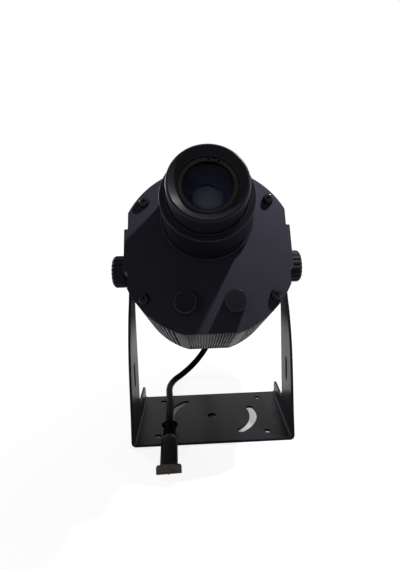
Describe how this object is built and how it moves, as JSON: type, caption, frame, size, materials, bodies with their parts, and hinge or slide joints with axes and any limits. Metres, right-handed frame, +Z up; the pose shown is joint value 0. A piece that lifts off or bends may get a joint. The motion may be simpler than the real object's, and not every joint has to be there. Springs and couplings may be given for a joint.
{
  "type": "gobo projector",
  "caption": "Gobo projector: a finned aluminium lamp head with a focusing lens barrel and rotating gobo, tilting in a folded steel yoke with clamp knobs",
  "frame": {"origin": "centre of the object without its lead, at the underside of the yoke's base", "axes": "+Z up from the base, +X to the right seen from the lens side, -Y the way the lens looks"},
  "size_m": [0.2024, 0.2806, 0.2904],
  "materials": {
    "painted_steel": "black satin powder coat",
    "anodised_aluminium": "black satin anodised",
    "black_plastic": "satin moulded",
    "black_rubber": "matt",
    "black_steel": "blackened",
    "bare_steel": "machined",
    "bare_aluminium": "machined",
    "coated_glass": "polished, with an anti-reflection coating",
    "gobo_glass": "metal film on glass",
    "olive_plastic": "satin moulded",
    "nylon": "natural",
    "led_ceramic": "phosphor over ceramic",
    "circuit_board": "solder resist"
  },
  "bodies": {
    "bracket": {"u_bracket": "painted_steel", "connector_tail": "black_rubber", "connector_shell": "black_plastic", "power_lead": "black_rubber"},
    "head": {"housing": "anodised_aluminium", "front_gasket": "black_rubber", "front_plate": "painted_steel", "rear_gasket": "black_rubber", "rear_cover": "painted_steel", "front_screw_1": "black_steel", "front_screw_2": "black_steel", "front_screw_3": "black_steel", "front_screw_4": "black_steel", "rear_screw_1": "black_steel", "rear_screw_2": "black_steel", "rear_screw_3": "black_steel", "rear_screw_4": "black_steel", "lens_base_tube": "anodised_aluminium", "potentiometer_left": "bare_steel", "potentiometer_right": "bare_steel", "gobo_stage": "bare_aluminium", "gobo_motor": "bare_steel", "heat_sink": "bare_aluminium", "led_module": "led_ceramic", "condenser_holder": "anodised_aluminium", "condenser_lens": "coated_glass", "driver_board": "circuit_board", "fan_frame": "black_plastic", "gland_body": "black_plastic", "gland_nut": "black_plastic", "gland_boot": "black_rubber", "friction_washer_left": "black_plastic", "friction_washer_right": "black_plastic"},
    "tilt_knob_left_group": {"tilt_knob_left": "black_plastic", "tilt_stud_left": "bare_steel", "knob_washer_left": "black_steel"},
    "tilt_knob_right_group": {"tilt_knob_right": "black_plastic", "tilt_stud_right": "bare_steel", "knob_washer_right": "black_steel"},
    "focus": {"focus_ring": "anodised_aluminium"},
    "barrel": {"lens_barrel": "anodised_aluminium", "front_lens_clip": "black_steel", "front_lens": "coated_glass", "rear_lens": "coated_glass", "rear_lens_ring": "black_steel"},
    "control_left": {"control_knob_left": "black_plastic", "control_shaft_left": "bare_steel"},
    "control_right": {"control_knob_right": "black_plastic", "control_shaft_right": "bare_steel"},
    "gobo_wheel": {"gobo_gear_ring": "black_plastic", "gobo_glass": "gobo_glass", "gobo_clip": "black_steel"},
    "pinion": {"gobo_pinion": "nylon"},
    "fan": {"fan_rotor": "black_plastic"},
    "coupling_nut": {"connector_nut": "olive_plastic"}
  },
  "joints": [
    {"name": "head_tilt", "type": "hinge", "parent": "bracket", "child": "head", "pos_m": [0, 0.02326, 0.17], "axis": [-1, 0, 0], "range_deg": [-58, 66.5], "deforming": ["power_lead"]},
    {"name": "tilt_knob_left_turn", "type": "hinge", "parent": "head", "child": "tilt_knob_left_group", "pos_m": [-0.09, 0.02326, 0.17], "axis": [-1, 0, 0], "range_deg": [0, 360]},
    {"name": "tilt_knob_right_turn", "type": "hinge", "parent": "head", "child": "tilt_knob_right_group", "pos_m": [0.09, 0.02326, 0.17], "axis": [1, 0, 0], "range_deg": [0, 360]},
    {"name": "focus_turn", "type": "hinge", "parent": "head", "child": "focus", "pos_m": [0, -0.0363, 0.22861], "axis": [0, -0.9171, 0.3987], "range_deg": [-120, 120]},
    {"name": "barrel_slide", "type": "slide", "parent": "head", "child": "barrel", "axis": [0, -0.9171, 0.3987], "range_m": [-0.007, 0.007]},
    {"name": "control_left_turn", "type": "hinge", "parent": "head", "child": "control_left", "pos_m": [-0.0222, -0.069, 0.15341], "axis": [0, -0.9171, 0.3987], "range_deg": [-150, 150]},
    {"name": "control_right_turn", "type": "hinge", "parent": "head", "child": "control_right", "pos_m": [0.0222, -0.069, 0.15341], "axis": [0, -0.9171, 0.3987], "range_deg": [-150, 150]},
    {"name": "gobo_turn", "type": "hinge", "parent": "head", "child": "gobo_wheel", "pos_m": [0, -0.00421, 0.21466], "axis": [0, -0.9171, 0.3987], "continuous": true},
    {"name": "pinion_turn", "type": "hinge", "parent": "head", "child": "pinion", "pos_m": [0, -0.01916, 0.18027], "axis": [0, -0.9171, 0.3987], "continuous": true},
    {"name": "fan_turn", "type": "hinge", "parent": "head", "child": "fan", "pos_m": [0, 0.08387, 0.15891], "axis": [0, -0.9171, 0.3987], "continuous": true},
    {"name": "coupling_nut_turn", "type": "hinge", "parent": "bracket", "child": "coupling_nut", "pos_m": [-0.0455, -0.00644, 0.0097], "axis": [0.0435, -0.9966, -0.0698], "continuous": true}
  ],
  "couplings": [
    {"joint": "barrel_slide", "follows": "focus_turn", "m_per_rad": 0.0033},
    {"joint": "pinion_turn", "follows": "gobo_turn", "ratio": -4}
  ]
}
